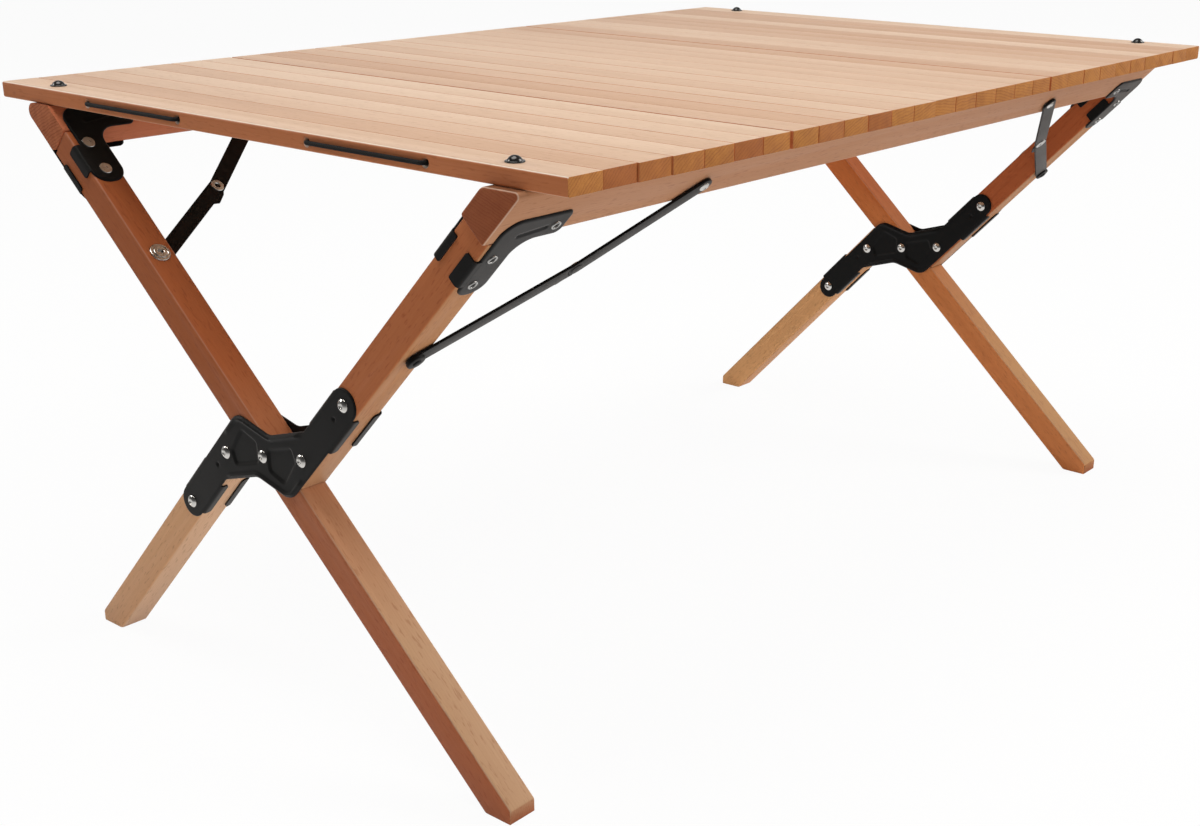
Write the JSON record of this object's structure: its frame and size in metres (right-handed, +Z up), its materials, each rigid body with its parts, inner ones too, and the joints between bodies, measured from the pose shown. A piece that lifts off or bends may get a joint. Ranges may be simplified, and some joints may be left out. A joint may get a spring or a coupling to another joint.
{
  "type": "roll top camp table",
  "caption": "Folding camp table: a roll-up top of loose beech slats on elastic cords lies on two rails carried by crossed legs with steel plates and folding stays.",
  "frame": {"origin": "on the floor, below the middle of the table top", "axes": "+X along the table's length from the near end to the far end, +Y to the left rail, +Z up"},
  "size_m": [0.9109, 0.6, 0.4542],
  "materials": {
    "beech_top": "satin lacquer",
    "beech_frame": "satin lacquer",
    "black_steel": "matte powder coat",
    "zinc_steel": "bright zinc plate",
    "black_peg": "gloss",
    "black_cord": "braided elastic"
  },
  "bodies": {
    "left_frame": {"left_rail": "beech_frame", "left_corner_rivets": "zinc_steel", "left_stay_fasteners": "zinc_steel", "left_leg_near": "beech_frame", "left_leg_far": "beech_frame", "left_corner_plates_near": "black_steel", "left_corner_plates_far": "black_steel", "left_lower_link_near": "black_steel", "left_lower_link_far": "black_steel", "left_upper_link_near": "black_steel", "left_upper_link_far": "black_steel"},
    "right_frame": {"right_rail": "beech_frame", "right_corner_rivets": "zinc_steel", "right_stay_fasteners": "zinc_steel", "cross_rivets": "zinc_steel", "right_upper_leg_near": "beech_frame", "right_upper_leg_far": "beech_frame", "right_lower_leg_near": "beech_frame", "right_lower_leg_far": "beech_frame", "right_corner_plates_near": "black_steel", "right_corner_plates_far": "black_steel", "right_lower_link_near": "black_steel", "right_lower_link_far": "black_steel", "right_upper_link_near": "black_steel", "right_upper_link_far": "black_steel", "cross_plates_near": "black_steel", "cross_plates_far": "black_steel"},
    "slat_01": {"slat_01": "beech_top", "pegs_near": "black_peg", "elastic_cord_left": "black_cord", "elastic_cord_right": "black_cord"},
    "slat_02": {"slat_02": "beech_top"},
    "slat_03": {"slat_03": "beech_top"},
    "slat_04": {"slat_04": "beech_top"},
    "slat_05": {"slat_05": "beech_top"},
    "slat_06": {"slat_06": "beech_top"},
    "slat_07": {"slat_07": "beech_top"},
    "slat_08": {"slat_08": "beech_top"},
    "slat_09": {"slat_09": "beech_top"},
    "slat_10": {"slat_10": "beech_top"},
    "slat_11": {"slat_11": "beech_top"},
    "slat_12": {"slat_12": "beech_top"},
    "slat_13": {"slat_13": "beech_top"},
    "slat_14": {"slat_14": "beech_top"},
    "slat_15": {"slat_15": "beech_top"},
    "slat_16": {"slat_16": "beech_top"},
    "slat_17": {"slat_17": "beech_top"},
    "slat_18": {"slat_18": "beech_top"},
    "slat_19": {"slat_19": "beech_top"},
    "slat_20": {"slat_20": "beech_top"},
    "slat_21": {"slat_21": "beech_top"},
    "slat_22": {"slat_22": "beech_top"},
    "slat_23": {"slat_23": "beech_top"},
    "slat_24": {"slat_24": "beech_top"},
    "slat_25": {"slat_25": "beech_top"},
    "slat_26": {"slat_26": "beech_top"},
    "slat_27": {"slat_27": "beech_top"},
    "slat_28": {"slat_28": "beech_top"},
    "slat_29": {"slat_29": "beech_top", "pegs_far": "black_peg"}
  },
  "joints": [
    {"name": "frame_fold", "type": "hinge", "parent": "left_frame", "child": "right_frame", "pos_m": [0, 0, 0.21044], "axis": [-1, 0, 0], "range_deg": [0, 90]},
    {"name": "top_lift", "type": "slide", "parent": "left_frame", "child": "slat_01", "axis": [0, 0, 1], "range_m": [0, 0.6607]},
    {"name": "top_roll", "type": "hinge", "parent": "slat_01", "child": "slat_02", "pos_m": [-0.4185, 0, 0.45], "axis": [0, -1, 0], "range_deg": [0, 19.91], "deforming": ["elastic_cord_left", "elastic_cord_right"]},
    {"name": "roll_02", "type": "hinge", "parent": "slat_02", "child": "slat_03", "pos_m": [-0.3875, 0, 0.45], "axis": [0, -1, 0], "range_deg": [0, 20.29]},
    {"name": "roll_03", "type": "hinge", "parent": "slat_03", "child": "slat_04", "pos_m": [-0.3565, 0, 0.45], "axis": [0, -1, 0], "range_deg": [0, 20.63]},
    {"name": "roll_04", "type": "hinge", "parent": "slat_04", "child": "slat_05", "pos_m": [-0.3255, 0, 0.45], "axis": [0, -1, 0], "range_deg": [0, 20.99]},
    {"name": "roll_05", "type": "hinge", "parent": "slat_05", "child": "slat_06", "pos_m": [-0.2945, 0, 0.45], "axis": [0, -1, 0], "range_deg": [0, 21.37]},
    {"name": "roll_06", "type": "hinge", "parent": "slat_06", "child": "slat_07", "pos_m": [-0.2635, 0, 0.45], "axis": [0, -1, 0], "range_deg": [0, 21.77]},
    {"name": "roll_07", "type": "hinge", "parent": "slat_07", "child": "slat_08", "pos_m": [-0.2325, 0, 0.45], "axis": [0, -1, 0], "range_deg": [0, 22.2]},
    {"name": "roll_08", "type": "hinge", "parent": "slat_08", "child": "slat_09", "pos_m": [-0.2015, 0, 0.45], "axis": [0, -1, 0], "range_deg": [0, 22.65]},
    {"name": "roll_09", "type": "hinge", "parent": "slat_09", "child": "slat_10", "pos_m": [-0.1705, 0, 0.45], "axis": [0, -1, 0], "range_deg": [0, 23.13]},
    {"name": "roll_10", "type": "hinge", "parent": "slat_10", "child": "slat_11", "pos_m": [-0.1395, 0, 0.45], "axis": [0, -1, 0], "range_deg": [0, 23.64]},
    {"name": "roll_11", "type": "hinge", "parent": "slat_11", "child": "slat_12", "pos_m": [-0.1085, 0, 0.45], "axis": [0, -1, 0], "range_deg": [0, 24.18]},
    {"name": "roll_12", "type": "hinge", "parent": "slat_12", "child": "slat_13", "pos_m": [-0.0775, 0, 0.45], "axis": [0, -1, 0], "range_deg": [0, 24.77]},
    {"name": "roll_13", "type": "hinge", "parent": "slat_13", "child": "slat_14", "pos_m": [-0.0465, 0, 0.45], "axis": [0, -1, 0], "range_deg": [0, 25.4]},
    {"name": "roll_14", "type": "hinge", "parent": "slat_14", "child": "slat_15", "pos_m": [-0.0155, 0, 0.45], "axis": [0, -1, 0], "range_deg": [0, 26.08]},
    {"name": "roll_15", "type": "hinge", "parent": "slat_15", "child": "slat_16", "pos_m": [0.0155, 0, 0.45], "axis": [0, -1, 0], "range_deg": [0, 26.82]},
    {"name": "roll_16", "type": "hinge", "parent": "slat_16", "child": "slat_17", "pos_m": [0.0465, 0, 0.45], "axis": [0, -1, 0], "range_deg": [0, 27.62]},
    {"name": "roll_17", "type": "hinge", "parent": "slat_17", "child": "slat_18", "pos_m": [0.0775, 0, 0.45], "axis": [0, -1, 0], "range_deg": [0, 28.5]},
    {"name": "roll_18", "type": "hinge", "parent": "slat_18", "child": "slat_19", "pos_m": [0.1085, 0, 0.45], "axis": [0, -1, 0], "range_deg": [0, 29.47]},
    {"name": "roll_19", "type": "hinge", "parent": "slat_19", "child": "slat_20", "pos_m": [0.1395, 0, 0.45], "axis": [0, -1, 0], "range_deg": [0, 30.54]},
    {"name": "roll_20", "type": "hinge", "parent": "slat_20", "child": "slat_21", "pos_m": [0.1705, 0, 0.45], "axis": [0, -1, 0], "range_deg": [0, 31.74]},
    {"name": "roll_21", "type": "hinge", "parent": "slat_21", "child": "slat_22", "pos_m": [0.2015, 0, 0.45], "axis": [0, -1, 0], "range_deg": [0, 33.09]},
    {"name": "roll_22", "type": "hinge", "parent": "slat_22", "child": "slat_23", "pos_m": [0.2325, 0, 0.45], "axis": [0, -1, 0], "range_deg": [0, 34.62]},
    {"name": "roll_23", "type": "hinge", "parent": "slat_23", "child": "slat_24", "pos_m": [0.2635, 0, 0.45], "axis": [0, -1, 0], "range_deg": [0, 36.39]},
    {"name": "roll_24", "type": "hinge", "parent": "slat_24", "child": "slat_25", "pos_m": [0.2945, 0, 0.45], "axis": [0, -1, 0], "range_deg": [0, 38.45]},
    {"name": "roll_25", "type": "hinge", "parent": "slat_25", "child": "slat_26", "pos_m": [0.3255, 0, 0.45], "axis": [0, -1, 0], "range_deg": [0, 40.9]},
    {"name": "roll_26", "type": "hinge", "parent": "slat_26", "child": "slat_27", "pos_m": [0.3565, 0, 0.45], "axis": [0, -1, 0], "range_deg": [0, 43.88]},
    {"name": "roll_27", "type": "hinge", "parent": "slat_27", "child": "slat_28", "pos_m": [0.3875, 0, 0.45], "axis": [0, -1, 0], "range_deg": [0, 47.59]},
    {"name": "roll_28", "type": "hinge", "parent": "slat_28", "child": "slat_29", "pos_m": [0.4185, 0, 0.45], "axis": [0, -1, 0], "range_deg": [0, 52.41]}
  ],
  "couplings": [
    {"joint": "top_lift", "follows": "frame_fold", "m_per_rad": 0.42},
    {"joint": "roll_02", "follows": "top_roll", "ratio": 1.0164},
    {"joint": "roll_03", "follows": "top_roll", "ratio": 1.0336},
    {"joint": "roll_04", "follows": "top_roll", "ratio": 1.0517},
    {"joint": "roll_05", "follows": "top_roll", "ratio": 1.0708},
    {"joint": "roll_06", "follows": "top_roll", "ratio": 1.091},
    {"joint": "roll_07", "follows": "top_roll", "ratio": 1.1123},
    {"joint": "roll_08", "follows": "top_roll", "ratio": 1.135},
    {"joint": "roll_09", "follows": "top_roll", "ratio": 1.159},
    {"joint": "roll_10", "follows": "top_roll", "ratio": 1.1847},
    {"joint": "roll_11", "follows": "top_roll", "ratio": 1.2121},
    {"joint": "roll_12", "follows": "top_roll", "ratio": 1.2415},
    {"joint": "roll_13", "follows": "top_roll", "ratio": 1.2732},
    {"joint": "roll_14", "follows": "top_roll", "ratio": 1.3073},
    {"joint": "roll_15", "follows": "top_roll", "ratio": 1.3444},
    {"joint": "roll_16", "follows": "top_roll", "ratio": 1.3847},
    {"joint": "roll_17", "follows": "top_roll", "ratio": 1.4289},
    {"joint": "roll_18", "follows": "top_roll", "ratio": 1.4775},
    {"joint": "roll_19", "follows": "top_roll", "ratio": 1.5314},
    {"joint": "roll_20", "follows": "top_roll", "ratio": 1.5916},
    {"joint": "roll_21", "follows": "top_roll", "ratio": 1.6594},
    {"joint": "roll_22", "follows": "top_roll", "ratio": 1.7365},
    {"joint": "roll_23", "follows": "top_roll", "ratio": 1.8252},
    {"joint": "roll_24", "follows": "top_roll", "ratio": 1.9288},
    {"joint": "roll_25", "follows": "top_roll", "ratio": 2.0519},
    {"joint": "roll_26", "follows": "top_roll", "ratio": 2.2013},
    {"joint": "roll_27", "follows": "top_roll", "ratio": 2.3878},
    {"joint": "roll_28", "follows": "top_roll", "ratio": 2.6296}
  ]
}
